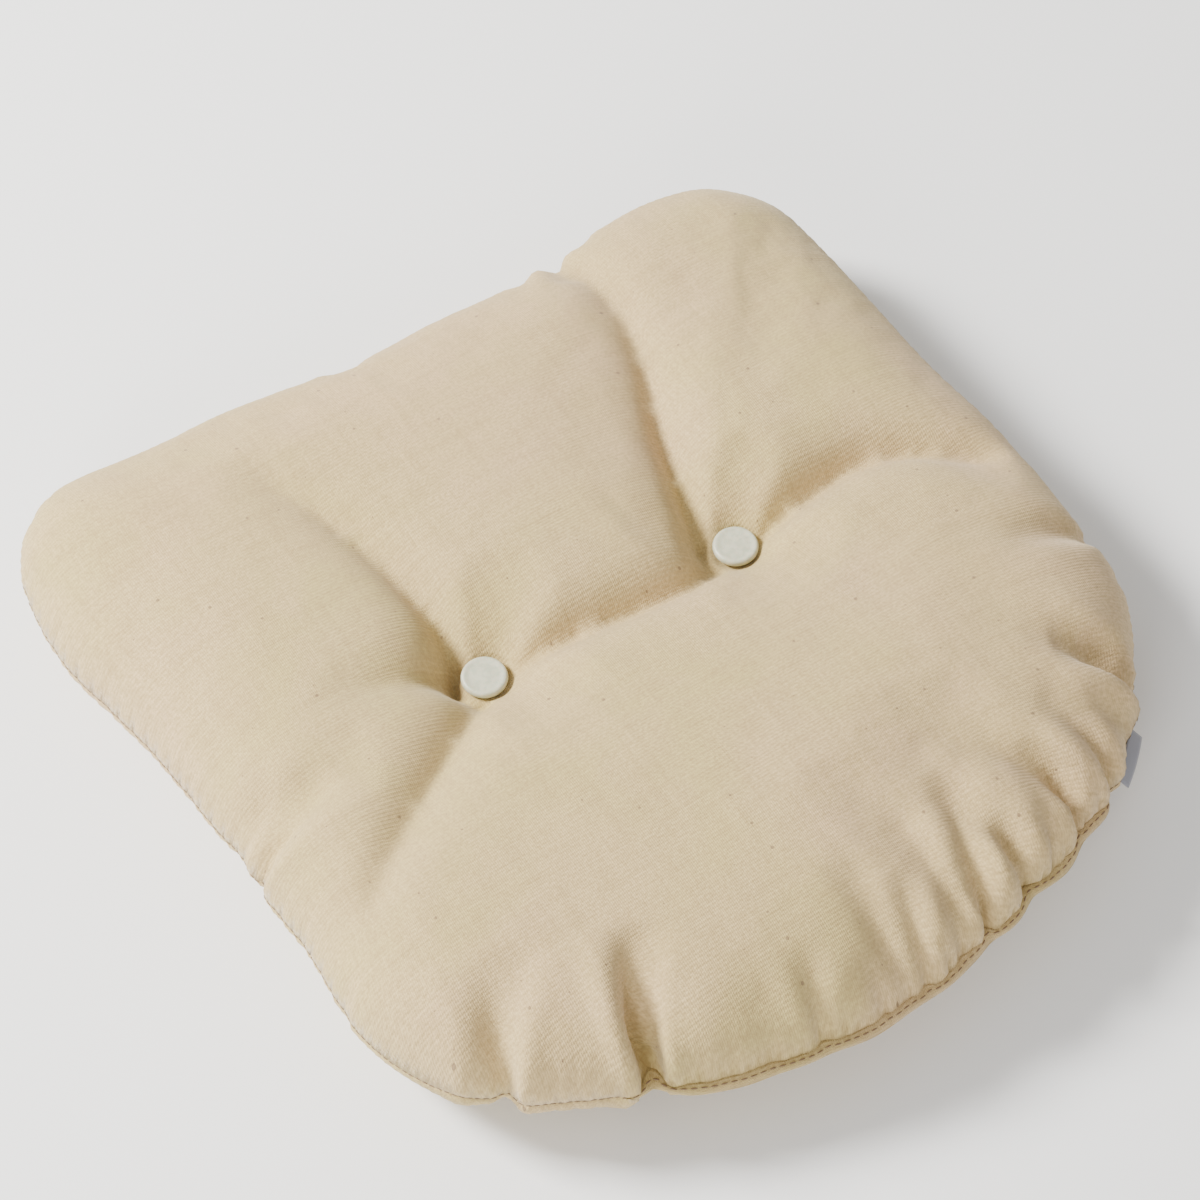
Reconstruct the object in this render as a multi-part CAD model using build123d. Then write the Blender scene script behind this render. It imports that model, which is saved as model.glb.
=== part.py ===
from build123d import *
import math
import os

# Chair seat pad for a horseshoe-shaped seat: two canvas panels sewn edge to edge round a fibre
# filling, and tufted with two buttons that twine ties through the filling to a small button below.
# Millimetres. The origin is the bottom centre of the pad's box. +Z is up, +Y points to the straight
# back edge and +X to the right of someone who sits on it.

# The pad, stuffed
pad_width = 400.0
pad_depth = 410.0
pad_height = 86.0
seam_height = 40.0
edge_radius = 38.0
back_corner_radius = 42.0
front_corner_radius = 110.0
side_end_y = -60.0
cloth = 1.0

# The seam and the hand-closed opening on the rounded front
seam_allowance = 11.0
seam_line_inset = 2.2
seam_thread_width = 0.6
seam_thread_height = 0.4
lip = 4.0
lip_start_x = -110.0
lip_end_x = 130.0
stitch_pitch = 4.0
stitch_length = 2.8
stitch_width = 0.6
stitch_height = 0.4
stitch_from_fold = 1.4

# The tufts
button_spacing = 126.0
button_y = 15.0
top_dimple_floor = 52.0
top_dimple_radius = 45.0
bottom_dimple_floor = 14.0
bottom_dimple_radius = 30.0
dimple_lip_radius = 10.0

# The buttons and what holds them
cap_radius = 10.0
cap_height = 4.8
cap_rim_height = 1.8
cap_wall = 1.2
plate_thickness = 1.4
collar_radius = 3.4
collar_height = 1.4
wire_radius = 0.6
wire_leg_offset = 2.0
wire_eye_drop = 6.0
twine_radius = 0.6
twine_leg_offset = 1.5
knot_radius = 2.0
under_button_radius = 8.0
under_button_height = 3.0
needle_clearance = 0.15
running_gap = 0.1
collar_gap = 0.4

# The blank care label
label_width = 26.0
label_length = 14.0
label_thickness = 0.7
label_angle = -56.0
label_tuck = 7.0

# Worked out from the sizes above
half_width = pad_width / 2
back_y = pad_depth / 2
front_y = -pad_depth / 2 + lip
front_corner_x = half_width - front_corner_radius
front_reach = side_end_y - front_y
front_radius = (front_corner_x**2 + front_reach**2 - front_corner_radius**2) / (
    2 * (front_reach - front_corner_radius)
)
front_centre_y = front_y + front_radius
front_join_angle = math.atan2(side_end_y - front_centre_y, front_corner_x)
cap_base = top_dimple_floor + collar_height + collar_gap
cap_inner_radius = cap_radius - cap_wall
eye_centre = top_dimple_floor - wire_eye_drop
under_button_top = bottom_dimple_floor - 1.3
button_places = {"left": -button_spacing / 2, "right": button_spacing / 2}


def along(centre, radius, angle):
    """The point at an angle, in radians, on a circle."""
    return (centre[0] + radius * math.cos(angle), centre[1] + radius * math.sin(angle))


def arc(centre, radius, start, end):
    """An arc between two angles on a circle."""
    middle = (start + end) / 2
    return ThreePointArc(
        along(centre, radius, start), along(centre, radius, middle), along(centre, radius, end)
    )


def pad_outline(inset):
    """The pad's plan, drawn in from its edge by inset: a straight back, straight sides, a round front."""
    back_corner = half_width - back_corner_radius
    back_centre_y = back_y - back_corner_radius
    right = half_width - inset
    small = back_corner_radius - inset
    corner = front_corner_radius - inset
    join = front_join_angle
    with BuildSketch() as plan:
        with BuildLine():
            Line((-back_corner, back_y - inset), (back_corner, back_y - inset))
            arc((back_corner, back_centre_y), small, math.pi / 2, 0)
            Line((right, back_centre_y), (right, side_end_y))
            arc((front_corner_x, side_end_y), corner, 0, join)
            arc((0, front_centre_y), front_radius - inset, join, -math.pi - join)
            arc((-front_corner_x, side_end_y), corner, -math.pi - join, -math.pi)
            Line((-right, side_end_y), (-right, back_centre_y))
            arc((-back_corner, back_centre_y), small, math.pi, math.pi / 2)
        make_face()
    return plan.sketch


def stuffed_shape(inset):
    """The pad as one solid, every face of it set in by inset, with a dimple at each tuft."""
    body = Pos(0, 0, inset) * extrude(pad_outline(inset), pad_height - 2 * inset)
    rims = body.edges().group_by(Axis.Z)
    body = fillet(rims[0] + rims[-1], edge_radius - inset)
    top_centre = top_dimple_floor + top_dimple_radius
    bottom_centre = bottom_dimple_floor - bottom_dimple_radius
    for x in button_places.values():
        body -= Pos(x, button_y, top_centre) * Sphere(top_dimple_radius + inset)
        body -= Pos(x, button_y, bottom_centre) * Sphere(bottom_dimple_radius + inset)
    lips = [
        edge
        for edge in body.edges().filter_by(GeomType.CIRCLE)
        if abs(edge.arc_center.Y - button_y) < 1 and abs(abs(edge.arc_center.X) - button_spacing / 2) < 1
    ]
    return fillet(lips, dimple_lip_radius - inset)


def band(outer_inset, inner_inset, low, high):
    """A flat band that follows the pad's edge between two insets and two heights."""
    return Pos(0, 0, low) * extrude(pad_outline(outer_inset) - pad_outline(inner_inset), high - low)


def closing_zone():
    """The block of space that holds the opening on the rounded front."""
    middle = (lip_start_x + lip_end_x) / 2
    return Pos(middle, -back_y, seam_height) * Box(lip_end_x - lip_start_x, pad_depth / 2, pad_height)


def at_button(x, y_offset, low, high, radius, x_offset=0.0):
    """An upright round bar beside a button's axis."""
    bar = Cylinder(radius, high - low, align=(Align.CENTER, Align.CENTER, Align.MIN))
    return Pos(x + x_offset, button_y + y_offset, low) * bar


def make_label():
    """A blank woven tab, caught in the seam at the right of the rounded front."""
    centre = (front_corner_x, side_end_y)
    angle = math.radians(label_angle)
    middle_radius = front_corner_radius - label_tuck + label_length / 2
    x, y = along(centre, middle_radius, angle)
    return Pos(x, y, seam_height) * Rot(0, 0, label_angle) * Box(label_length, label_width, label_thickness)


def make_seam_thread():
    """The lockstitch line through both seam allowances, all the way round but for the opening."""
    half = seam_thread_height / 2
    inner = seam_line_inset + seam_thread_width
    line = band(seam_line_inset, inner, seam_height - half, seam_height + half)
    return line - closing_zone()


def make_closing_stitches():
    """The short stitches that close the filled opening, on the upper and lower face of the lip."""
    radius = front_radius + lip - stitch_from_fold
    start = math.asin(lip_start_x / radius)
    end = math.asin(lip_end_x / radius)
    count = int((end - start) * radius / stitch_pitch)
    upper = seam_height + cloth + stitch_height / 2
    lower = seam_height - cloth - stitch_height / 2
    stitches = []
    for number in range(count):
        angle = start + (number + 0.5) * stitch_pitch / radius
        x, y = along((0, front_centre_y), radius, angle - math.pi / 2)
        for z in (upper, lower):
            stitch = Box(stitch_length, stitch_width, stitch_height)
            stitches.append(Pos(x, y, z) * Rot(0, 0, math.degrees(angle)) * stitch)
    return Compound(children=stitches)


def make_panel(side):
    """One canvas panel: the skin, its turned-in seam allowance and its half of the closing lip."""
    keep = Keep.TOP if side > 0 else Keep.BOTTOM
    skin = split(outer_shape - inner_shape, bisect_by=Plane.XY.offset(seam_height), keep=keep)
    low, high = sorted((seam_height, seam_height + side * cloth))
    panel = skin + band(cloth, seam_allowance, low, high)
    panel += band(-lip, 0, low, high) & closing_zone()
    panel -= side_label
    panel -= seam_thread
    hole = wire_radius + needle_clearance
    for x in button_places.values():
        for offset in (-1, 1):
            if side > 0:
                panel -= at_button(x, 0, seam_height + 5, pad_height, hole, offset * wire_leg_offset)
            else:
                panel -= at_button(x, offset * twine_leg_offset, 0, seam_height - 5, hole)
    return panel


def make_fill():
    """The fibre filling, parted at the tufts and round the turned-in seam allowances."""
    fill = inner_shape - band(cloth, seam_allowance, seam_height - cloth, seam_height + cloth)
    pocket_radius = wire_leg_offset + 2 * wire_radius
    pocket_floor = eye_centre - wire_leg_offset - 2 * wire_radius
    for x in button_places.values():
        fill -= at_button(x, 0, pocket_floor, pad_height, pocket_radius)
        fill -= at_button(x, 0, 0, seam_height + 10, twine_leg_offset + 2 * twine_radius)
    return fill


def make_cap():
    """A low domed cap with a rolled rim, hollow below."""
    shoulder = cap_radius - 1.4
    with BuildSketch(Plane.XZ) as profile:
        with BuildLine():
            Line((0, cap_base + plate_thickness + 1), (cap_inner_radius, cap_base + plate_thickness + 1))
            Line((cap_inner_radius, cap_base + plate_thickness + 1), (cap_inner_radius, cap_base))
            Line((cap_inner_radius, cap_base), (cap_radius, cap_base))
            Line((cap_radius, cap_base), (cap_radius, cap_base + cap_rim_height))
            RadiusArc(
                (cap_radius, cap_base + cap_rim_height), (shoulder, cap_base + cap_rim_height + 1.4), -1.4
            )
            Spline(
                (shoulder, cap_base + cap_rim_height + 1.4),
                (0, cap_base + cap_height),
                tangents=((-1, 0.12), (-1, 0)),
            )
            Line((0, cap_base + cap_height), (0, cap_base + plate_thickness + 1))
        make_face()
    return revolve(profile.sketch, Axis.Z)


def make_plate():
    """The disc pressed into the cap, with a collar and two holes for the wire eye's legs."""
    disc = Pos(0, 0, cap_base) * Cylinder(
        cap_inner_radius - running_gap, plate_thickness, align=(Align.CENTER, Align.CENTER, Align.MIN)
    )
    collar = Pos(0, 0, cap_base) * Cylinder(
        collar_radius, collar_height, align=(Align.CENTER, Align.CENTER, Align.MAX)
    )
    plate = disc + collar
    for offset in (-wire_leg_offset, wire_leg_offset):
        plate -= Pos(offset, 0, cap_base) * Cylinder(wire_radius + running_gap / 2, 4 * plate_thickness)
    return plate


def make_wire_eye():
    """A bent wire loop: two legs up through the plate and a round bight below, for the twine."""
    top = cap_base + plate_thickness
    reach = wire_leg_offset
    with BuildLine(Plane.XZ) as path:
        Line((-reach, top), (-reach, eye_centre))
        ThreePointArc((-reach, eye_centre), (0, eye_centre - reach), (reach, eye_centre))
        Line((reach, eye_centre), (reach, top))
    start = Plane(origin=path.line @ 0, z_dir=path.line % 0)
    return sweep(start * Circle(wire_radius), path=path.line)


def make_twine():
    """Waxed twine looped over the wire eye, down through the filling and the button below to a knot."""
    reach = twine_leg_offset
    loop_centre = eye_centre - wire_leg_offset
    knot_centre = under_button_top - under_button_height - running_gap - knot_radius
    with BuildLine(Plane.YZ) as path:
        Line((-reach, knot_centre), (-reach, loop_centre))
        ThreePointArc((-reach, loop_centre), (0, loop_centre + reach), (reach, loop_centre))
        Line((reach, loop_centre), (reach, knot_centre))
    start = Plane(origin=path.line @ 0, z_dir=path.line % 0)
    return sweep(start * Circle(twine_radius), path=path.line) + Pos(0, 0, knot_centre) * Sphere(knot_radius)


def make_under_button():
    """A plain two-hole button with a raised rim, recessed in the dimple below."""
    low = under_button_top - under_button_height
    disc = Pos(0, 0, low) * Cylinder(
        under_button_radius, under_button_height, align=(Align.CENTER, Align.CENTER, Align.MIN)
    )
    disc = fillet(disc.edges().filter_by(GeomType.CIRCLE), under_button_height / 3)
    disc -= Pos(0, 0, low) * Cylinder(under_button_radius * 0.6, under_button_height / 3)
    for offset in (-twine_leg_offset, twine_leg_offset):
        disc -= Pos(0, offset, low) * Cylinder(twine_radius + needle_clearance, 3 * under_button_height)
    return disc


def write(name, solid):
    """Writes one named piece."""
    export_step(solid, f"parts/{name}.step")


os.makedirs("parts", exist_ok=True)

outer_shape = stuffed_shape(0)
inner_shape = stuffed_shape(cloth)
seam_thread = make_seam_thread()
side_label = make_label()

write("top_panel", make_panel(1))
write("bottom_panel", make_panel(-1))
write("fibre_fill", make_fill())
write("seam_thread", seam_thread)
write("closing_stitches", make_closing_stitches())
write("side_label", side_label - seam_thread)

for side, x in button_places.items():
    place = Pos(x, button_y, 0)
    write(f"{side}_button_cap", place * make_cap())
    write(f"{side}_button_plate", place * make_plate())
    write(f"{side}_wire_eye", place * make_wire_eye())
    write(f"{side}_tuft_twine", place * make_twine())
    write(f"{side}_under_button", place * make_under_button())
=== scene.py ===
import math

import bpy
import numpy as np
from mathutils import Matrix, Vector
from mathutils.geometry import delaunay_2d_cdt


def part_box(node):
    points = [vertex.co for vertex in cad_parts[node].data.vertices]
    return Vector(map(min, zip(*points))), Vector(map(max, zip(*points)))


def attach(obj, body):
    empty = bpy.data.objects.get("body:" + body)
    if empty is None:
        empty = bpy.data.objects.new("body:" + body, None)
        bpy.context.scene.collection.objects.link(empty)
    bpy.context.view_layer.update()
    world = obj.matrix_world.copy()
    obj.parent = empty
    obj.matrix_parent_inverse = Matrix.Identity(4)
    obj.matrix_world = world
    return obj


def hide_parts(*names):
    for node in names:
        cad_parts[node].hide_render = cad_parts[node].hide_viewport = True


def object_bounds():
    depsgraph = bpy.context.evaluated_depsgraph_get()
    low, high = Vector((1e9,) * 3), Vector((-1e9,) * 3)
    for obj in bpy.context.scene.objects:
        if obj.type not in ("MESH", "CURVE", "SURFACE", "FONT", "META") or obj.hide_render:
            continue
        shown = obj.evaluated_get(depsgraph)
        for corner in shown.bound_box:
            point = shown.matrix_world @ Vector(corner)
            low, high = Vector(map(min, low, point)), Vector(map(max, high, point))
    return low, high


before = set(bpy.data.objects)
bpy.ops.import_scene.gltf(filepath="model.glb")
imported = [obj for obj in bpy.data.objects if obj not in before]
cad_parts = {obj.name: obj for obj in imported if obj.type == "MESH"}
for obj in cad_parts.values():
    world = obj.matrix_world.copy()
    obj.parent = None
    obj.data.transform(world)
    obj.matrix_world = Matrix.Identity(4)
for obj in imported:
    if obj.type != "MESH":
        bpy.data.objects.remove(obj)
cad_low, cad_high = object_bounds()
mm = 0.001


# ---- The table, the light and the camera ----------------------------------------------
# The pad lies on a pale table, under a large soft light from the back left and a weak one
# from the front left. The camera stands left of the rounded front and looks well down on it.

seam_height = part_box("bottom_panel")[1].z
view_azimuth = math.radians(-32.3)
view_elevation = math.radians(55.3)
view_distance = 1.4
view_target = Vector((4.8 * mm, 31.9 * mm, seam_height))
view_width = 517 * mm
sensor = 36.0
room_brightness = 0.76
table_half = 4.0


def look(thing, place, target):
    """Puts a camera or a light at a place and turns it to a target."""
    thing.location = place
    thing.rotation_euler = (Vector(target) - Vector(place)).to_track_quat("-Z", "Y").to_euler()


def soft_light(name, place, target, power, size, colour):
    """A square area light."""
    data = bpy.data.lights.new(name, "AREA")
    data.energy = power
    data.size = size
    data.color = colour
    light = bpy.data.objects.new(name, data)
    bpy.context.scene.collection.objects.link(light)
    look(light, place, target)


def new_material(name, roughness, sheen=0.0):
    """A material with its nodes, its links and its shader."""
    made = bpy.data.materials.new(name)
    made.use_nodes = True
    tree = made.node_tree
    shader = tree.nodes["Principled BSDF"]
    shader.inputs["Roughness"].default_value = roughness
    shader.inputs["Sheen Weight"].default_value = sheen
    return made, tree.nodes, tree.links, shader


camera_data = bpy.data.cameras.new("camera")
camera_data.sensor_width = sensor
camera_data.lens = sensor * view_distance / view_width
camera = bpy.data.objects.new("camera", camera_data)
bpy.context.scene.collection.objects.link(camera)
backwards = Vector((
    math.sin(view_azimuth) * math.cos(view_elevation),
    -math.cos(view_azimuth) * math.cos(view_elevation),
    math.sin(view_elevation),
))
look(camera, view_target + backwards * view_distance, view_target)
bpy.context.scene.camera = camera

world = bpy.data.worlds.new("room")
bpy.context.scene.world = world
world.use_nodes = True
world.node_tree.nodes["Background"].inputs["Color"].default_value = (1.0, 0.99, 0.975, 1)
world.node_tree.nodes["Background"].inputs["Strength"].default_value = room_brightness
soft_light("window", (-1.4, 1.35, 1.7), (0, 0, 0.03), 195.0, 0.7, (1.0, 0.985, 0.955))
soft_light("front_light", (-1.6, -1.3, 1.1), (0, 0, 0.03), 32.0, 0.8, (1.0, 0.99, 0.98))

table_mesh = bpy.data.meshes.new("table")
table_corners = [(-table_half, -table_half, 0), (table_half, -table_half, 0)]
table_corners += [(table_half, table_half, 0), (-table_half, table_half, 0)]
table_mesh.from_pydata(table_corners, [], [(0, 1, 2, 3)])
table = bpy.data.objects.new("table", table_mesh)
bpy.context.scene.collection.objects.link(table)
table_paint, nodes, links, shader = new_material("pale_table", 0.9)
shader.inputs["Base Color"].default_value = (0.86, 0.86, 0.855, 1)
table_mesh.materials.append(table_paint)


# ---- The canvas: its weave ------------------------------------------------------------
# Unbleached cotton canvas: a plain weave of two-ply yarn, with thick and thin yarns, small
# dark flecks of cotton seed, and a faint warm and green unevenness of the raw cloth.

warp_pitch = 0.95 * mm
weft_pitch = 1.6 * mm
canvas_light = (0.585, 0.432, 0.207)
canvas_dark = (0.330, 0.227, 0.092)
canvas_green = (0.525, 0.420, 0.160)
canvas_pink = (0.610, 0.428, 0.235)
fleck_colour = (0.20, 0.13, 0.07)
flecks_per_metre = 58.0
share_with_flecks = 0.28
yarn_wobble = 2.2
weave_height = 0.3 * mm
weave_strength = 0.6


def add_math(tree, operation, *values):
    """A maths node on sockets and numbers, and its output."""
    node = tree.nodes.new("ShaderNodeMath")
    node.operation = operation
    for place, value in enumerate(values):
        if isinstance(value, (int, float)):
            node.inputs[place].default_value = value
        else:
            tree.links.new(value, node.inputs[place])
    return node.outputs[0]


def add_noise(tree, place, scale, detail, distortion=0.0):
    """A noise texture's value, on a place given in metres."""
    node = tree.nodes.new("ShaderNodeTexNoise")
    node.inputs["Scale"].default_value = scale
    node.inputs["Detail"].default_value = detail
    node.inputs["Distortion"].default_value = distortion
    tree.links.new(place, node.inputs["Vector"])
    return node.outputs["Fac"]


def add_range(tree, value, low, high, to_low=0.0, to_high=1.0):
    """A smooth step from one range of values to another."""
    node = tree.nodes.new("ShaderNodeMapRange")
    node.interpolation_type = "SMOOTHSTEP"
    tree.links.new(value, node.inputs["Value"])
    for name, number in (("From Min", low), ("From Max", high), ("To Min", to_low), ("To Max", to_high)):
        node.inputs[name].default_value = number
    return node.outputs["Result"]


def add_mix(tree, factor, first, second):
    """One colour turning into another, either of them a socket."""
    node = tree.nodes.new("ShaderNodeMix")
    node.data_type = "RGBA"
    tree.links.new(factor, node.inputs["Factor"])
    for name, colour in (("A", first), ("B", second)):
        socket = next(s for s in node.inputs if s.name == name and s.type == "RGBA")
        if isinstance(colour, tuple):
            socket.default_value = (*colour, 1)
        else:
            tree.links.new(colour, socket)
    return next(s for s in node.outputs if s.type == "RGBA")


def add_stretch(tree, place, scale):
    """A place stretched, so a pattern on it runs one way."""
    node = tree.nodes.new("ShaderNodeMapping")
    node.inputs["Scale"].default_value = scale
    tree.links.new(place, node.inputs["Vector"])
    return node.outputs["Vector"]


def make_canvas():
    """The cover's cloth, on the pattern's own coordinates, in metres."""
    made, nodes, links, shader = new_material("natural_canvas", 0.88, 0.22)
    shader.inputs["Sheen Roughness"].default_value = 0.55
    shader.inputs["Sheen Tint"].default_value = (1.0, 0.96, 0.88, 1)
    shader.inputs["Specular IOR Level"].default_value = 0.25
    tree = made.node_tree
    cloth = nodes.new("ShaderNodeUVMap")
    cloth.uv_map = "pattern"
    place = cloth.outputs["UV"]
    parts = nodes.new("ShaderNodeSeparateXYZ")
    links.new(place, parts.inputs["Vector"])
    warp_wobble = add_noise(tree, add_stretch(tree, place, (260, 30, 1)), 1.0, 2.0)
    weft_wobble = add_noise(tree, add_stretch(tree, place, (30, 260, 1)), 1.0, 2.0)
    across = add_math(tree, "MULTIPLY", parts.outputs["X"], math.pi / warp_pitch)
    along = add_math(tree, "MULTIPLY", parts.outputs["Y"], math.pi / weft_pitch)
    across = add_math(tree, "ADD", across, add_math(tree, "MULTIPLY", warp_wobble, yarn_wobble))
    along = add_math(tree, "ADD", along, add_math(tree, "MULTIPLY", weft_wobble, yarn_wobble))
    sine_across = add_math(tree, "SINE", across)
    sine_along = add_math(tree, "SINE", along)
    over = add_math(tree, "MULTIPLY", sine_across, sine_along)
    half_over = add_math(tree, "MULTIPLY", over, 0.5)
    warp_top = add_math(tree, "ADD", half_over, 0.5)
    weft_top = add_math(tree, "SUBTRACT", 0.5, half_over)
    warp_yarn = add_math(tree, "MULTIPLY", add_math(tree, "ABSOLUTE", sine_across), warp_top)
    weft_yarn = add_math(tree, "MULTIPLY", add_math(tree, "ABSOLUTE", sine_along), weft_top)
    weave = add_math(tree, "MAXIMUM", warp_yarn, weft_yarn)

    slub = add_math(tree, "ADD", warp_wobble, weft_wobble)
    solid = nodes.new("ShaderNodeTexCoord").outputs["Object"]
    broad = add_noise(tree, solid, 9.0, 3.0, 0.3)
    blotch = add_noise(tree, solid, 31.0, 3.0, 0.6)
    fine = add_noise(tree, place, 700.0, 3.0)

    fleck = nodes.new("ShaderNodeTexVoronoi")
    fleck.voronoi_dimensions = "2D"
    fleck.inputs["Scale"].default_value = flecks_per_metre
    links.new(place, fleck.inputs["Vector"])
    pick = nodes.new("ShaderNodeSeparateColor")
    links.new(fleck.outputs["Color"], pick.inputs["Color"])
    fleck_size = add_range(tree, pick.outputs["Green"], 0.3, 1.0, 0.020, 0.048)
    near = add_math(tree, "LESS_THAN", fleck.outputs["Distance"], fleck_size)
    chosen = add_math(tree, "GREATER_THAN", pick.outputs["Red"], 1 - share_with_flecks)
    flecks = add_math(tree, "MULTIPLY", add_math(tree, "MULTIPLY", near, chosen), 0.75)

    colour = add_mix(tree, add_range(tree, broad, 0.36, 0.66), canvas_green, canvas_pink)
    colour = add_mix(tree, add_range(tree, blotch, 0.30, 0.72, 0.15, 0.85), colour, canvas_light)
    colour = add_mix(tree, add_range(tree, slub, 0.85, 1.35, 0.0, 0.30), colour, canvas_dark)
    colour = add_mix(tree, add_range(tree, weave, 0.0, 0.55, 0.45, 0.0), colour, canvas_dark)
    colour = add_mix(tree, add_range(tree, fine, 0.30, 0.70, 0.0, 0.55), colour, canvas_dark)
    colour = add_mix(tree, flecks, colour, fleck_colour)
    links.new(colour, shader.inputs["Base Color"])

    height = add_math(tree, "ADD", weave, add_math(tree, "MULTIPLY", slub, 0.35))
    height = add_math(tree, "ADD", height, add_math(tree, "MULTIPLY", fine, 0.30))
    bump = nodes.new("ShaderNodeBump")
    bump.inputs["Strength"].default_value = weave_strength
    bump.inputs["Distance"].default_value = weave_height
    links.new(height, bump.inputs["Height"])
    links.new(bump.outputs["Normal"], shader.inputs["Normal"])
    return made


canvas = make_canvas()


# ---- The cover: cut, tufted and stuffed -----------------------------------------------
# Two panels cut to one horseshoe pattern, a little larger than the finished pad, sewn edge
# to edge, filled with fibre and drawn in at two tufts, so folds run from each button.

half_width = (cad_high.x - cad_low.x) / 2
half_depth = (cad_high.y - cad_low.y) / 2
lip_width = half_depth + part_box("fibre_fill")[0].y - 1 * mm
ease = 1.05
mesh_step = 5.0 * mm
back_corner = 48 * mm
front_corner = 118 * mm
side_end = -60 * mm
tufts = []
for tuft_side in ("left", "right"):
    cap_low, cap_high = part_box(f"{tuft_side}_button_cap")
    tufts.append(((cap_low.x + cap_high.x) / 2, (cap_low.y + cap_high.y) / 2))
tuft_roof = -26 * mm
tuft_reach = 11.4 * mm
lower_reach = 9 * mm
tuft_rings = (4 * mm, 8 * mm, 11.4 * mm, 14.2 * mm, 18 * mm)
tuft_slope_reach = (8 * mm, 11.4 * mm, 14.2 * mm, 21 * mm, 28 * mm, 38 * mm, 55 * mm)
tuft_slope_rise = (12 * mm, 14.4 * mm, 18.5 * mm, 25.5 * mm, 30 * mm, 35 * mm, 42 * mm)
crown = 40 * mm
shoulder = 62 * mm
fold_step = 0.9 * mesh_step
fold_width = 11 * mm
start_noise = 0.15 * mm
start_share = 0.98

# each fold: its line, how deep it starts and ends, and how firmly the filling leaves it
folds = [
    ([(-72, 22), (-70, 52), (-80, 98), (-98, 142)], 28, 4, 1.0),
    ([(52, 22), (57, 45), (66, 78), (78, 108), (86, 140), (86, 178)], 28, 10, 1.0),
    ([(72, 12), (97, 16), (127, 18), (150, 11), (172, -6)], 26, 15, 1.0),
    ([(-52, 10), (-31, 9), (6, 5), (35, 4), (52, 10)], 20, 20, 1.0),
    ([(-70, 5), (-92, -12), (-122, -32), (-152, -52), (-168, -64)], 20, 8, 0.7),
    ([(-75, 18), (-100, 24), (-130, 30)], 18, 2, 0.6),
]

# each pucker at the seam: its place, its length, its width and its depth
heart = np.array([0, -20 * mm])
pucker_start = 8 * mm
pucker_rise = 15 * mm
pucker_shift = 0.35
puckers = [
    (-160, -146, 48, 9, 6),
    (-107, -186, 62, 9, 14),
    (-60, -197, 30, 8, 2),
    (5, -201, 50, 8, 7),
    (45, -196, 55, 9, 6),
    (78, -186, 50, 7, 9),
    (115, -172, 58, 9, 9),
    (152, -148, 40, 8, 6),
    (-182, 0, 45, 10, 7),
    (190, -60, 40, 9, 5),
    (172, -122, 45, 9, 9),
    (86, 205, 32, 8, 6),
    (-30, 205, 25, 9, 2),
]


def smooth_line(points, step):
    """Points at even steps along a smooth line through a few."""
    points = np.array(points, float)
    padded = np.vstack([2 * points[0] - points[1], points, 2 * points[-1] - points[-2]])
    curve = []
    for p0, p1, p2, p3 in zip(padded, padded[1:], padded[2:], padded[3:]):
        for t in np.linspace(0, 1, 40, endpoint=False):
            bend = 2 * p0 - 5 * p1 + 4 * p2 - p3
            turn = -p0 + 3 * p1 - 3 * p2 + p3
            curve.append(0.5 * (2 * p1 + (p2 - p0) * t + bend * t**2 + turn * t**3))
    curve = np.array(curve + [points[-1]])
    run = np.concatenate([[0], np.cumsum(np.hypot(*np.diff(curve, axis=0).T))])
    places = np.linspace(0, run[-1], max(2, round(run[-1] / step)) + 1)
    return np.column_stack([np.interp(places, run, curve[:, 0]), np.interp(places, run, curve[:, 1])])


def nearest_on(points, line):
    """The distance from each point to a line, and how far along the line that is, 0 to 1."""
    best = np.full(len(points), 1e9)
    where = np.zeros(len(points))
    for number, (start, end) in enumerate(zip(line, line[1:])):
        step = end - start
        along = np.clip(((points - start) @ step) / (step @ step), 0, 1)
        gap = np.hypot(*(points - start - along[:, None] * step).T)
        closer = gap < best
        best[closer] = gap[closer]
        where[closer] = (number + along[closer]) / (len(line) - 1)
    return best, where


def inside(points, line):
    """Which points lie inside a closed line."""
    found = np.zeros(len(points), bool)
    x, y = points.T
    for (x0, y0), (x1, y1) in zip(line, np.roll(line, -1, 0)):
        if y0 != y1:
            crosses = (y0 > y) != (y1 > y)
            found ^= crosses & (x < (x1 - x0) * (y - y0) / (y1 - y0) + x0)
    return found


def pattern_edge():
    """The panel's cut edge, in even steps: straight back, straight sides and a round front."""
    half = half_width * ease
    back = half_depth * ease
    front = (lip_width - half_depth) * ease
    corner_x = half - front_corner
    side_y = side_end * ease
    reach = side_y - front
    front_radius = (corner_x**2 + reach**2 - front_corner**2) / (2 * (reach - front_corner))
    front_y = front + front_radius
    join = math.atan2(side_y - front_y, corner_x)
    points = []

    def add_arc(x, y, radius, start, end):
        count = max(2, round(abs(end - start) * radius / mesh_step))
        for number in range(count):
            angle = start + (end - start) * number / count
            points.append((x + radius * math.cos(angle), y + radius * math.sin(angle)))

    def add_run(x0, y0, x1, y1):
        count = max(2, round(math.hypot(x1 - x0, y1 - y0) / mesh_step))
        for number in range(count):
            points.append((x0 + (x1 - x0) * number / count, y0 + (y1 - y0) * number / count))

    inner = half - back_corner
    add_run(-inner, back, inner, back)
    add_arc(inner, back - back_corner, back_corner, math.pi / 2, 0)
    add_run(half, back - back_corner, half, side_y)
    add_arc(corner_x, side_y, front_corner, 0, join)
    add_arc(0, front_y, front_radius, join, -math.pi - join)
    add_arc(-corner_x, side_y, front_corner, -math.pi - join, -math.pi)
    add_run(-half, side_y, -half, back - back_corner)
    add_arc(-inner, back - back_corner, back_corner, math.pi, math.pi / 2)
    return np.array(points)


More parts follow.
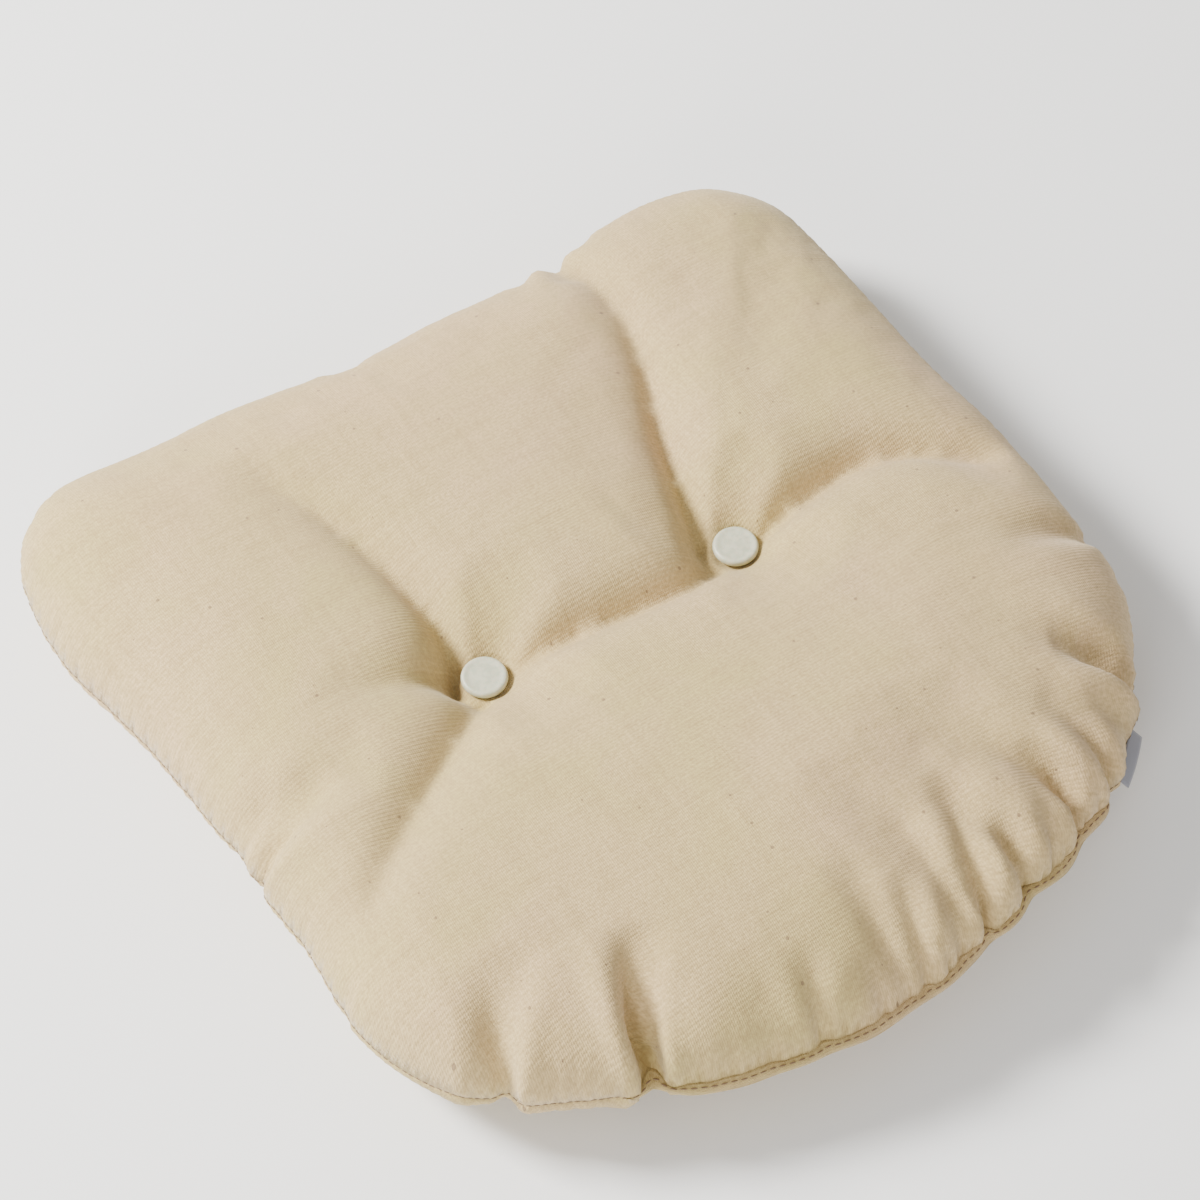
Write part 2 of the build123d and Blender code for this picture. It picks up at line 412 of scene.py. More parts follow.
def cut_canvas():
    """Both panels as one mesh, joined along the seam: flat places, faces, side, distance from seam."""
    edge = pattern_edge()
    closed = np.vstack([edge, edge[:1]])
    low, high = edge.min(0), edge.max(0)
    row_step = mesh_step * math.sqrt(3) / 2
    lattice = []
    for row in range(int((high[1] - low[1]) / row_step) + 1):
        shift = mesh_step / 2 if row % 2 else 0
        for x in np.arange(low[0] + shift, high[0], mesh_step):
            lattice.append((x, low[1] + row * row_step))
    lattice = np.array(lattice)
    lattice = lattice[inside(lattice, edge)]
    lattice = lattice[nearest_on(lattice, closed)[0] > 0.6 * mesh_step]
    lines = []
    for points, *_ in folds:
        line = smooth_line(np.array(points) * mm * ease, fold_step)
        for x, y in tufts:
            line = line[np.hypot(line[:, 0] - x * ease, line[:, 1] - y * ease) > tuft_rings[-1] * 1.2]
        lattice = lattice[nearest_on(lattice, line)[0] > 0.55 * mesh_step]
        lines.append(line)
    for x, y in tufts:
        centre = np.array([x, y]) * ease
        lattice = lattice[np.hypot(*(lattice - centre).T) > tuft_rings[-1] * ease + 0.6 * mesh_step]
        lines.append(centre[None, :])
        for reach in tuft_rings:
            turn = np.linspace(0, 2 * math.pi, round(reach * 1.9 / mm), endpoint=False) + reach * 400
            lines.append(centre + reach * ease * np.column_stack([np.cos(turn), np.sin(turn)]))
    count = len(edge)
    rim = [(number, (number + 1) % count) for number in range(count)]
    points = [Vector(p) for p in np.vstack([edge, *lines, lattice])]
    placed, _, cut, *_ = delaunay_2d_cdt(points, rim, [], 1, 1e-9)
    flat = np.array([tuple(p) for p in placed])
    cut = np.array(cut)
    a, b, c = (flat[cut[:, corner]] for corner in range(3))
    turned = (b - a)[:, 0] * (c - a)[:, 1] - (b - a)[:, 1] * (c - a)[:, 0] < 0
    cut[turned] = cut[turned][:, ::-1]
    from_seam = nearest_on(flat, closed)[0]
    on_seam = from_seam < 1e-6
    inner = np.where(~on_seam)[0]
    twin = np.arange(len(flat))
    twin[inner] = len(flat) + np.arange(len(inner))
    side = np.concatenate([np.where(on_seam, 0, 1), -np.ones(len(inner))])
    faces = np.vstack([cut, twin[cut][:, ::-1]])
    return np.vstack([flat, flat[inner]]), faces, side, np.concatenate([from_seam, from_seam[inner]])


def lay_out(flat, side, from_seam):
    """The places that the sewn cover starts from, and how firmly each is held."""
    place = flat / ease
    rise = np.clip(from_seam / shoulder, 0, 1)
    height = crown * np.sqrt(1 - (1 - rise) ** 2.2) * side
    hold = np.zeros(len(place))
    upper = side > 0
    lower = side < 0
    for points, start_depth, end_depth, firmness in folds:
        line = smooth_line(np.array(points) * mm, fold_step)
        gap, along = nearest_on(place, line)
        depth = (start_depth + (end_depth - start_depth) * along**0.8) * mm
        height[upper] -= (depth * np.exp(-((gap / fold_width) ** 1.2)))[upper]
        on_fold = upper & (gap < 0.25 * mesh_step)
        hold[on_fold] = np.maximum(hold[on_fold], (firmness * (1 - 0.5 * along**2))[on_fold])
    for x, y in tufts:
        reach = np.hypot(place[:, 0] - x, place[:, 1] - y)
        rim = np.interp(reach, tuft_slope_reach, tuft_slope_rise)
        height[upper] = np.minimum(height[upper], rim[upper])
        under_button = upper & (reach < tuft_reach + 0.2 * mm)
        height[under_button] = rim[under_button]
        roof = tuft_roof - np.maximum(reach - lower_reach, 0) * 0.5
        height[lower] = np.maximum(height[lower], roof[lower])
        hold[under_button] = 1
        hold[(reach < lower_reach) & lower] = 1
    start = np.column_stack([place * start_share, height])
    for x, y, length, width, depth in puckers:
        at = np.array([x, y]) * mm
        inward = np.array([0, -1.0]) if y > 190 else (heart - at) / np.linalg.norm(heart - at)
        line = np.array([at - inward * pucker_start, at + inward * length * mm])
        gap, along = nearest_on(place, line)
        pull = depth * mm * np.exp(-((gap / (width * mm)) ** 2)) * (1 - along) ** 0.7
        start[:, 2] -= pull * side * np.clip(from_seam / pucker_rise, 0, 1)
        start[:, :2] += inward * (pull * pucker_shift)[:, None]
    start[:, 2] += np.random.default_rng(4).normal(0, start_noise, len(start))
    return start, hold


def evaluated_places(thing):
    """Where a piece's points lie with its modifiers on."""
    seen = thing.evaluated_get(bpy.context.evaluated_depsgraph_get())
    mesh = seen.to_mesh()
    places = np.empty(len(mesh.vertices) * 3, np.float32)
    mesh.vertices.foreach_get("co", places)
    seen.to_mesh_clear()
    return places.reshape(-1, 3).astype(float)


def stuff(flat, faces, start, hold):
    """Fills the cover: cloth cut to the flat pattern, blown up to the filling's volume."""
    mesh = bpy.data.meshes.new("stuffing_run")
    mesh.from_pydata(start.tolist(), [], faces.tolist())
    cover = bpy.data.objects.new("stuffing_run", mesh)
    bpy.context.scene.collection.objects.link(cover)
    cover.shape_key_add(name="Basis")
    cut = cover.shape_key_add(name="cut", from_mix=False)
    cut.data.foreach_set("co", np.column_stack([flat, np.zeros(len(flat))]).astype(np.float32).ravel())
    held = cover.vertex_groups.new(name="held")
    for number in np.where(hold > 0)[0]:
        held.add([int(number)], float(hold[number]), "REPLACE")
    cloth = cover.modifiers.new("cloth", "CLOTH")
    cloth.collision_settings.use_collision = False
    cloth.collision_settings.use_self_collision = False
    cloth.point_cache.frame_end = stuffing_frames
    rules = cloth.settings
    rules.rest_shape_key = cut
    rules.vertex_group_mass = "held"
    rules.pin_stiffness = 5.0
    rules.quality = 5
    rules.mass = 0.3
    rules.bending_model = "ANGULAR"
    rules.tension_stiffness = 15
    rules.compression_stiffness = 15
    rules.shear_stiffness = 5
    rules.bending_stiffness = 0.5
    rules.tension_damping = 5
    rules.compression_damping = 5
    rules.shear_damping = 5
    rules.bending_damping = 0.5
    rules.use_pressure = True
    rules.use_pressure_volume = True
    rules.uniform_pressure_force = 0
    rules.pressure_factor = 80
    rules.target_volume = filling_volume
    rules.effector_weights.gravity = 0
    scene = bpy.context.scene
    scene.frame_start = 1
    scene.frame_end = stuffing_frames
    for number in range(1, stuffing_frames + 1):
        scene.frame_set(number)
    places = evaluated_places(cover)
    scene.frame_set(1)
    bpy.data.objects.remove(cover)
    return places


def settle(shape, side):
    """The last shaping: the edge pulled to the finished outline, tight folds and a flat underside."""
    done = shape.copy()
    middle = shape[:, :2]
    push = np.zeros_like(middle)
    for x, y, amount in pulls:
        at = np.array([x, y]) * mm
        weight = np.exp(-(np.hypot(*(middle - at).T) / pull_reach) ** 2)
        push += weight[:, None] * amount * mm * at / np.linalg.norm(at)
    done[:, :2] += push
    upper = side > 0
    for points, _, _, firmness in folds:
        line = smooth_line(np.array(points) * mm, fold_step)
        gap, along = nearest_on(done[:, :2], line)
        shares = np.linspace(0, 1, len(line))
        samples = np.column_stack([np.interp(along, shares, line[:, axis]) for axis in (0, 1)])
        towards = samples - done[:, :2]
        pinch = fold_pinch * firmness * np.exp(-((gap / pinch_width) ** 2)) * np.clip((1 - along) * 4, 0, 1)
        for x, y in tufts:
            reach = np.hypot(done[:, 0] - x, done[:, 1] - y)
            pinch *= np.clip((reach - 12 * mm) / (10 * mm), 0, 1)
        done[upper, :2] += (towards * pinch[:, None])[upper]
    done[:, 2] += seam_height
    low = done[:, 2] < rest_height
    done[low, 2] = rest_height * np.exp((done[low, 2] - rest_height) / rest_height)
    return done


stuffing_frames = 40
filling_volume = 10.2e-3
fold_pinch = 0.30
pinch_width = 7.5 * mm
pull_reach = 38 * mm
rest_height = 4 * mm

# each tight tuck at the seam: its line from the seam inwards, its width and its depth
tucks = [
    ([(-106, -192), (-102, -170), (-94, -150), (-84, -130)], 5.0, 15),
    ([(-155, -152), (-149, -132), (-138, -110)], 7.0, 6),
    ([(-125, -182), (-120, -168)], 4.0, 3),
    ([(-35, -201), (-33, -186), (-28, -172)], 4.5, 4),
    ([(-8, -201), (-8, -186)], 4.0, 2.5),
    ([(15, -201), (18, -183), (24, -165)], 4.0, 5),
    ([(34, -198), (38, -180)], 4.0, 3),
    ([(50, -196), (54, -176), (60, -155), (64, -138)], 5.0, 8),
    ([(74, -190), (72, -162), (63, -135)], 6.5, 4),
    ([(92, -182), (92, -166)], 4.0, 4),
    ([(109, -177), (109, -160), (102, -140)], 4.5, 7),
    ([(134, -164), (130, -146), (120, -128)], 5.0, 6),
    ([(173, -136), (160, -120), (142, -108)], 6.0, 9),
    ([(200, -62), (180, -58), (160, -52)], 6.0, 2.5),
    ([(-200, -14), (-172, -10), (-150, -2)], 6.0, 5),
    ([(84, 205), (82, 190), (80, 174)], 5.0, 4.5),
    ([(64, 205), (62, 190)], 4.0, 2.5),
    ([(100, 205), (97, 192)], 4.0, 2),
    ([(-35, 205), (-33, 190)], 5.0, 3),
]
tuck_tail = 0.7
tuck_step = 2 * mm
bank_share = 0.40
bank_place = 2.3
sharp_fold = 2.6 * mm
sharp_width = 3.6 * mm

# where the finished edge is pulled in or stands out: its place and how far outwards
pulls = [
    (-196, -60, -11),
    (-196, 0, -8),
    (-196, 55, -4),
    (-200, 128, 10),
    (-178, 190, 8),
    (-91, 190, 3),
    (-20, 195, -4),
    (60, 192, -6),
    (128, 195, 6),
    (184, 175, -4),
    (194, -3, 7),
    (190, -70, 3),
    (130, -160, 3),
    (-147, -139, 2),
]

flat, faces, side, from_seam = cut_canvas()
shape, hold = lay_out(flat, side, from_seam)
shape = stuff(flat, faces, shape, hold)
shape = settle(shape, side)


def make_piece(name, places, faces, paint, patterns=None):
    """A mesh piece from points, faces and, for cloth, each face corner's place in the pattern."""
    mesh = bpy.data.meshes.new(name)
    mesh.from_pydata(np.asarray(places).tolist(), [], [tuple(int(v) for v in face) for face in faces])
    mesh.materials.append(paint)
    mesh.shade_smooth()
    if patterns is not None:
        mesh.uv_layers.new(name="pattern").data.foreach_set("uv", np.asarray(patterns, np.float32).ravel())
    piece = bpy.data.objects.new(name, mesh)
    bpy.context.scene.collection.objects.link(piece)
    return piece


def finished(piece, name):
    """The piece as one plain mesh, with its modifiers made real."""
    depsgraph = bpy.context.evaluated_depsgraph_get()
    seen = piece.evaluated_get(depsgraph)
    mesh = bpy.data.meshes.new_from_object(seen, preserve_all_data_layers=True, depsgraph=depsgraph)
    bpy.data.objects.remove(piece)
    mesh.name = name
    made = bpy.data.objects.new(name, mesh)
    bpy.context.scene.collection.objects.link(made)
    return made


def smoothed_cover():
    """The whole cover, once subdivided: places, normals, four-sided faces, sides, pattern places."""
    lower_face = side[faces].sum(1) < 0
    pattern = flat[faces.ravel()] + np.where(np.repeat(lower_face, 3), 1.0, 0.0)[:, None]
    rough = make_piece("rough_cover", shape, faces, canvas, pattern)
    rough.data.materials.append(canvas)
    rough.data.polygons.foreach_set("material_index", lower_face.astype(np.int32))
    smooth = rough.modifiers.new("smooth", "SUBSURF")
    smooth.levels = smooth.render_levels = 1
    smooth.uv_smooth = "NONE"
    whole = finished(rough, "whole_cover")
    mesh = whole.data
    places = np.empty(len(mesh.vertices) * 3, np.float32)
    mesh.vertices.foreach_get("co", places)
    normals = np.empty(len(mesh.vertices) * 3, np.float32)
    mesh.vertices.foreach_get("normal", normals)
    quads = np.empty(len(mesh.loops), np.int32)
    mesh.loops.foreach_get("vertex_index", quads)
    lower = np.empty(len(mesh.polygons), np.int32)
    mesh.polygons.foreach_get("material_index", lower)
    pattern = np.empty(len(mesh.loops) * 2, np.float32)
    mesh.uv_layers["pattern"].data.foreach_get("uv", pattern)
    bpy.data.objects.remove(whole)
    pattern = pattern.reshape(-1, 4, 2).astype(float)
    normals = normals.reshape(-1, 3).astype(float)
    return places.reshape(-1, 3).astype(float), normals, quads.reshape(-1, 4), lower > 0, pattern


def ring_order(quads):
    """The points along the open edge of some faces, in order round it."""
    ends = {}
    pairs = np.vstack([quads[:, [k, (k + 1) % 4]] for k in range(4)])
    known = set(map(tuple, pairs.tolist()))
    for start, end in pairs.tolist():
        if (end, start) not in known:
            ends[start] = end
    first = next(iter(ends))
    ring = [first]
    while ends[ring[-1]] != first:
        ring.append(ends[ring[-1]])
    return np.array(ring)


places, normals, quads, lower_quads, pattern = smoothed_cover()
ring = ring_order(quads[~lower_quads])
flat_place = np.zeros((len(places), 2))
for corner in range(4):
    flat_place[quads[:, corner]] = pattern[:, corner] - lower_quads[:, None] * 1.0
share_of_tuck = np.ones(len(places))
share_of_tuck[quads[lower_quads].ravel()] = 0.6
share_of_tuck[ring] = 0.45


def sink_at(place, share):
    """How far the cloth is drawn in by the tucks and the sharp middles of the folds."""
    sink = np.zeros(len(place))
    for points, width, depth in tucks:
        line = smooth_line(np.array(points) * mm, tuck_step)
        gap, along = nearest_on(place, line)
        wide = width * mm * (0.55 + 0.9 * along)
        bank = np.exp(-(((gap - bank_place * wide) / wide) ** 2))
        dent = np.exp(-((gap / wide) ** 2)) - bank_share * bank
        sink += depth * mm * dent * (1 - along) ** tuck_tail * share
    for points, *_ in folds[:4]:
        line = smooth_line(np.array(points) * mm, tuck_step)
        gap, along = nearest_on(place, line)
        sink += sharp_fold * np.exp(-((gap / sharp_width) ** 2)) * (1 - 0.8 * along) * (share == 1)
    for x, y in tufts:
        sink *= np.clip((np.hypot(place[:, 0] - x, place[:, 1] - y) - 13 * mm) / (8 * mm), 0, 1)
    return sink


places -= normals * sink_at(flat_place / ease, share_of_tuck)[:, None]
places[:, 2] = np.maximum(places[:, 2], 0)

# the cloth bends evenly, so small kinks are eased out, most of all along the folds, but not
# at the seam or under the buttons
pairs = np.unique(np.sort(np.vstack([quads[:, [k, (k + 1) % 4]] for k in range(4)]), axis=1), axis=0)
links_at = np.bincount(pairs.ravel(), minlength=len(places))
easing_turns = 2
fold_easing_turns = 9
easing = np.full(len(places), 0.5)
easing[ring] = 0
at_fold = np.zeros(len(places))
for points, *_ in folds:
    line = smooth_line(np.array(points) * mm, tuck_step)
    gap, _ = nearest_on(places[:, :2], line)
    at_fold = np.maximum(at_fold, np.exp(-((gap / fold_width) ** 2)))
for x, y in tufts:
    easing *= np.clip((np.hypot(places[:, 0] - x, places[:, 1] - y) - 12 * mm) / (5 * mm), 0, 1)
for turn in range(fold_easing_turns):
    around = np.zeros_like(places)
    np.add.at(around, pairs[:, 0], places[pairs[:, 1]])
    np.add.at(around, pairs[:, 1], places[pairs[:, 0]])
    share = easing if turn < easing_turns else easing * at_fold
    places += (around / links_at[:, None] - places) * share[:, None]
rim = places[ring]
outward = np.roll(rim, -1, 0) - np.roll(rim, 1, 0)
outward = np.column_stack([outward[:, 1], -outward[:, 0], np.zeros(len(rim))])
outward /= np.linalg.norm(outward, axis=1)[:, None]
for _ in range(6):
    outward = (np.roll(outward, 1, 0) + outward + np.roll(outward, -1, 0)) / 3

# the seam stands out as a soft ridge with a fine groove along it
ridge = 3.5 * mm
ridge_reach = 10 * mm
groove = 1.3 * mm
calm_turns = 14
edge_line = pattern_edge()
edge_line = np.vstack([edge_line, edge_line[:1]])
from_edge, _ = nearest_on(flat_place, edge_line)
near = np.where(from_edge < 4 * ridge_reach)[0]
nearest_rim = np.array([np.argmin(((rim[:, :2] - places[n, :2]) ** 2).sum(1)) for n in near])
lift = ridge * np.exp(-from_edge[near] / ridge_reach)
places[near] += outward[nearest_rim] * lift[:, None]
places[ring] -= outward * groove
rim = places[ring].copy()
calm = rim.copy()
for _ in range(calm_turns):
    calm = (np.roll(calm, 1, 0) + 2 * calm + np.roll(calm, -1, 0)) / 4

# the part of the seam that was closed last, by hand from outside: a narrow folded lip
lip_reach = 4.6 * mm
lip_half = 0.8 * mm
lip_droop = 1.6 * mm
lip_wave = 0.6 * mm
lip_fade = 3 * mm
lip_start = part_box("closing_stitches")[0].x
lip_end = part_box("closing_stitches")[1].x
at_front = rim[:, 1] < -120 * mm
lip_share = np.clip((rim[:, 0] - lip_start + lip_fade) / (2 * lip_fade), 0, 1)
lip_share *= np.clip((lip_end + lip_fade - rim[:, 0]) / (2 * lip_fade), 0, 1)
lip_share = np.where(at_front, lip_share, 0)
waves = np.sin(rim[:, 0] / (9 * mm)) + 0.7 * np.sin(rim[:, 0] / (4.3 * mm) + 1)
cloth_thickness = 0.7 * mm


def lip_row(share, up):
    """The ring's points moved out along the lip, and up or down by its thickness."""
    row = rim + (calm - rim) * (lip_share * share)[:, None]
    row += outward * (lip_share * lip_reach * share)[:, None]
    row[:, 2] += lip_share * (up - lip_droop * share**2 + lip_wave * waves * share)
    return row


def make_panel(name, chosen, up, node):
    """One panel of the cover with its half of the lip, as cloth with its real thickness."""
    kept = np.unique(quads[chosen])
    number = np.full(len(places), -1)
    number[kept] = np.arange(len(kept))
    points = [places[kept]]
    made = [number[quads[chosen]]]
    patterns = [pattern[chosen].reshape(-1, 4, 2)]
    own_ring = ring_order(quads[chosen])
    order = number[own_ring]
    to_ring = {int(v): k for k, v in enumerate(ring)}
    ring_place = np.array([to_ring[int(v)] for v in own_ring])
    last = order
    shares = (0.45, 0.85, 1.0)
    heights = (up, up, up * 0.25)
    count = len(kept)
    edge_uv = np.array([flat_place[v] for v in own_ring]) + (1.0 if up < 0 else 0.0)
    for share, height in zip(shares, heights):
        row = lip_row(share, height)[ring_place]
        here = lip_share[ring_place] > 0.01
        ids = np.full(len(own_ring), -1)
        ids[here] = count + np.arange(here.sum())
        ids[~here] = last[~here]
        count += here.sum()
        points.append(row[here])
        for k in range(len(own_ring)):
            n = (k + 1) % len(own_ring)
            if here[k] and here[n]:
                made.append(np.array([[last[n], last[k], ids[k], ids[n]]]))
                shift = (outward[ring_place[k]][:2] * lip_reach)
                moved = shift * share
                uv = np.array([edge_uv[n], edge_uv[k], edge_uv[k] + moved, edge_uv[n] + moved])
                patterns.append(uv[None])
        last = ids
    panel = make_piece(name, np.vstack(points), np.vstack(made), canvas, np.vstack(patterns).reshape(-1, 2))
    thick = panel.modifiers.new("thickness", "SOLIDIFY")
    thick.thickness = cloth_thickness
    thick.offset = -1
    thick.use_even_offset = False
    panel = finished(panel, name)
    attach(panel, "root")
    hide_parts(node)


make_panel("top_cover", ~lower_quads, lip_half, "top_panel")
make_panel("bottom_cover", lower_quads, -lip_half, "bottom_panel")


# ---- The filling ----------------------------------------------------------------------
# One batt of loose white fibre, a few millimetres inside the cover all round.

fibre_inset = 5 * mm
fibre_seam_inset = 6 * mm
fibre_floor = 2.2 * mm
fibre, nodes, links, shader = new_material("white_fibre", 0.95, 0.4)
tree = fibre.node_tree
solid = nodes.new("ShaderNodeTexCoord").outputs["Object"]
tufty = add_noise(tree, solid, 160.0, 6.0, 1.5)
fibre_colour = add_mix(tree, add_range(tree, tufty, 0.3, 0.7), (0.70, 0.69, 0.66), (0.86, 0.86, 0.84))
links.new(fibre_colour, shader.inputs["Base Color"])
fluff = nodes.new("ShaderNodeBump")
fluff.inputs["Strength"].default_value = 0.76
fluff.inputs["Distance"].default_value = 1.2 * mm
links.new(tufty, fluff.inputs["Height"])
links.new(fluff.outputs["Normal"], shader.inputs["Normal"])

inner = make_piece("loose_fibre", shape, faces, fibre)
directions = np.empty(len(shape) * 3, np.float32)
inner.data.vertices.foreach_get("normal", directions)
depth = fibre_inset + 1.5 * np.maximum(sink_at(flat / ease, np.ones(len(flat))), 0)
depth += fibre_seam_inset * np.exp(-from_seam / (12 * mm))
shrunk = shape - directions.reshape(-1, 3) * depth[:, None]
shrunk[:, 2] = np.maximum(shrunk[:, 2], fibre_floor)
inner.data.vertices.foreach_set("co", shrunk.astype(np.float32).ravel())
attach(inner, "root")
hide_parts("fibre_fill")


# ---- The thread: the seam and the closing stitches ------------------------------------
# Tan cotton thread. A machine seam joins the panels all round, and the lip at the front is
# closed from outside with a row of longer stitches. Each stitch is a short rounded length,
# given by its pitch, its length and its width.

seam_stitch = (3.2 * mm, 2.6 * mm, 0.42 * mm)
closing_stitch = (4.0 * mm, 2.9 * mm, 0.7 * mm)
thread, nodes, links, shader = new_material("tan_thread", 0.6, 0.2)
shader.inputs["Base Color"].default_value = (0.17, 0.10, 0.045, 1)


def stitch_nodes():
    """Geometry Nodes that lay one short rounded stitch at every step along a line."""
    group = bpy.data.node_groups.new("stitches", "GeometryNodeTree")
    kinds = {"Line": "Geometry", "Pitch": "Float", "Length": "Float", "Width": "Float", "Thread": "Material"}
    sockets = {}
    for name, kind in kinds.items():
        sockets[name] = group.interface.new_socket(name, in_out="INPUT", socket_type="NodeSocket" + kind)
    group.interface.new_socket("Stitches", in_out="OUTPUT", socket_type="NodeSocketGeometry")
    add = group.nodes.new
    join = group.links.new
    source = add("NodeGroupInput")
    result = add("NodeGroupOutput")
    curve = add("GeometryNodeMeshToCurve")
    steps = add("GeometryNodeResampleCurve")
    steps.mode = "LENGTH"
    bead = add("GeometryNodeMeshUVSphere")
    bead.inputs["Segments"].default_value = 8
    bead.inputs["Rings"].default_value = 7
    bead.inputs["Radius"].default_value = 0.5
    size = add("ShaderNodeCombineXYZ")
    tangent = add("GeometryNodeInputTangent")
    turn = add("FunctionNodeAlignRotationToVector")
    turn.axis = "X"
    place = add("GeometryNodeInstanceOnPoints")
    real = add("GeometryNodeRealizeInstances")
    smooth = add("GeometryNodeSetShadeSmooth")
    paint = add("GeometryNodeSetMaterial")
    join(source.outputs["Line"], curve.inputs["Mesh"])
    join(curve.outputs["Curve"], steps.inputs["Curve"])
    join(source.outputs["Pitch"], steps.inputs["Length"])
    join(steps.outputs["Curve"], place.inputs["Points"])
    join(bead.outputs["Mesh"], place.inputs["Instance"])
    join(source.outputs["Length"], size.inputs["X"])
    join(source.outputs["Width"], size.inputs["Y"])
    join(source.outputs["Width"], size.inputs["Z"])
    join(size.outputs["Vector"], place.inputs["Scale"])
    join(tangent.outputs["Tangent"], turn.inputs["Vector"])
    join(turn.outputs["Rotation"], place.inputs["Rotation"])
    join(place.outputs["Instances"], real.inputs["Geometry"])
    join(real.outputs["Geometry"], smooth.inputs["Geometry"])
    join(smooth.outputs["Geometry"], paint.inputs["Geometry"])
    join(source.outputs["Thread"], paint.inputs["Material"])
    join(paint.outputs["Geometry"], result.inputs["Stitches"])
    return group, sockets


stitching, stitch_sockets = stitch_nodes()


def sew(name, node, line, pitch, length, width):
    """A row of stitches along a line of points."""
    edges = [(k, k + 1) for k in range(len(line) - 1)]
    mesh = bpy.data.meshes.new(name)
    mesh.from_pydata(line.tolist(), edges, [])
    row = bpy.data.objects.new(name, mesh)
    bpy.context.scene.collection.objects.link(row)
    sewn = row.modifiers.new("stitches", "NODES")
    sewn.node_group = stitching
    for key, value in (("Pitch", pitch), ("Length", length), ("Width", width), ("Thread", thread)):
        sewn[stitch_sockets[key].identifier] = value
    row = finished(row, name)
    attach(row, "root")
    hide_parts(node)
    return row


open_part = lip_share <= 0.01
first_open = next(k for k in range(len(ring)) if open_part[k] and not open_part[k - 1])
order = [(first_open + k) % len(ring) for k in range(len(ring))]
seam_line = (rim + outward * 0.1 * mm)[[k for k in order if open_part[k]]]
sew("seam_stitches", "seam_thread", seam_line, *seam_stitch)
lip_line = lip_row(0.55, 0.95 * mm)[[k for k in order if not open_part[k]]]
sew("closing_thread", "closing_stitches", lip_line, *closing_stitch)


# ---- The buttons ----------------------------------------------------------------------
# A smooth off-white moulded cap on each tuft: a low dome inside a soft rim. Its plate, its
# wire eye, the tuft twine and the button under the pad keep the frame's own shapes.

cap_paint, nodes, links, shader = new_material("button_plastic", 0.42)
tree = cap_paint.node_tree
solid = nodes.new("ShaderNodeTexCoord").outputs["Object"]
mottle = add_noise(tree, solid, 420.0, 3.0, 0.4)
mottled = add_range(tree, mottle, 0.35, 0.65)
cap_colour = add_mix(tree, mottled, (0.430, 0.440, 0.320), (0.510, 0.500, 0.375))
links.new(cap_colour, shader.inputs["Base Color"])
shader.inputs["Subsurface Weight"].default_value = 0.12
shader.inputs["Subsurface Scale"].default_value = 2 * mm

# across the dome, from its middle outwards and under: the distance out and the height, as shares
segments = 64
cap_profile = [
    (0.0, 0.86),
    (0.20, 0.855),
    (0.42, 0.84),
    (0.60, 0.82),
    (0.72, 0.825),
    (0.80, 0.87),
    (0.87, 0.88),
    (0.93, 0.84),
    (0.975, 0.72),
    (1.0, 0.52),
    (0.985, 0.30),
    (0.93, 0.12),
    (0.85, 0.03),
    (0.70, 0.0),
    (0.0, 0.0),
]


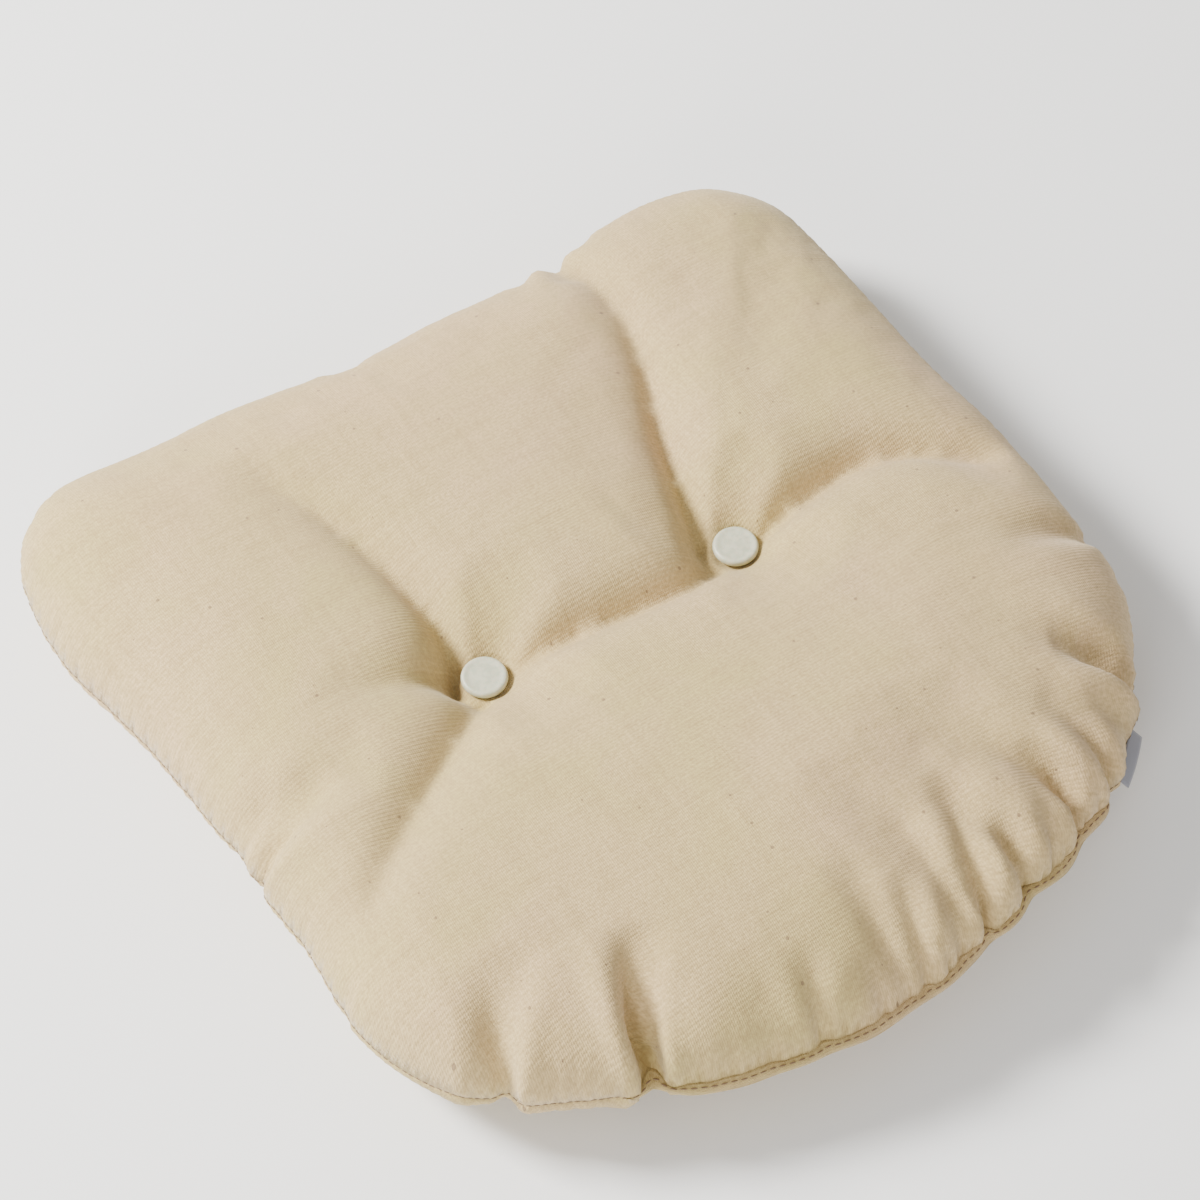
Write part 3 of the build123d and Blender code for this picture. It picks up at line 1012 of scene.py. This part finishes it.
def lathe(name, centre, radius, height, profile, paint):
    """A turned piece: a profile swung round an upright line, closed at both ends."""
    places = [(centre.x, centre.y, centre.z + profile[0][1] * height)]
    faces = []
    for share, rise in profile[1:-1]:
        for number in range(segments):
            angle = 2 * math.pi * number / segments
            x = centre.x + radius * share * math.cos(angle)
            y = centre.y + radius * share * math.sin(angle)
            places.append((x, y, centre.z + rise * height))
    places.append((centre.x, centre.y, centre.z + profile[-1][1] * height))
    rows = len(profile) - 2
    for number in range(segments):
        after = (number + 1) % segments
        faces.append((0, 1 + number, 1 + after))
        for row in range(rows - 1):
            a = 1 + row * segments
            b = a + segments
            faces.append((a + number, b + number, b + after, a + after))
        last = 1 + (rows - 1) * segments
        faces.append((last + number, len(places) - 1, last + after))
    return make_piece(name, places, faces, paint)


for tuft_side in ("left", "right"):
    cap_low, cap_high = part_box(f"{tuft_side}_button_cap")
    centre = Vector(((cap_low.x + cap_high.x) / 2, (cap_low.y + cap_high.y) / 2, cap_low.z))
    radius = (cap_high.x - cap_low.x) / 2
    height = cap_high.z - cap_low.z
    cap = lathe(f"{tuft_side}_button", centre, radius, height, cap_profile, cap_paint)
    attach(cap, "root")
    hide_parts(f"{tuft_side}_button_cap")


# ---- The side label -------------------------------------------------------------------
# A small blank woven label, folded and sewn into the seam at the right of the rounded front.

label_paint, nodes, links, shader = new_material("label_cloth", 0.8, 0.3)
shader.inputs["Base Color"].default_value = (0.21, 0.21, 0.24, 1)
label_low, label_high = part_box("side_label")
label_centre = (label_low + label_high) / 2
label_width = 26 * mm
label_reach = 6 * mm
label_tuck = 0.5 * mm
label_drop = 5 * mm
label_curve = 4
label_thickness = 0.7 * mm
near_label = int(np.argmin(np.hypot(rim[:, 0] - label_centre.x, rim[:, 1] - label_centre.y)))
label_span = [(near_label + k) % len(rim) for k in range(-5, 6)]
label_root = rim[label_span].mean(0)
label_out = outward[label_span].mean(0)
label_out /= np.linalg.norm(label_out)
label_run = np.array([-label_out[1], label_out[0], 0])
label_places = []
columns = 14
rows = 8
for row in range(rows):
    share = row / (rows - 1)
    for column in range(columns):
        where = (column / (columns - 1) - 0.5) * label_width
        at = label_root + label_run * where - label_out * where**2 * label_curve
        reach = label_reach * share - label_tuck
        label_places.append(at + label_out * reach - np.array([0, 0, label_drop * share]))
label_faces = []
for row in range(rows - 1):
    for column in range(columns - 1):
        a = row * columns + column
        label_faces.append((a, a + 1, a + columns + 1, a + columns))
label = make_piece("woven_label", label_places, label_faces, label_paint)
thick = label.modifiers.new("thickness", "SOLIDIFY")
thick.thickness = label_thickness
thick.offset = 0
label = finished(label, "woven_label")
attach(label, "root")
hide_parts("side_label")
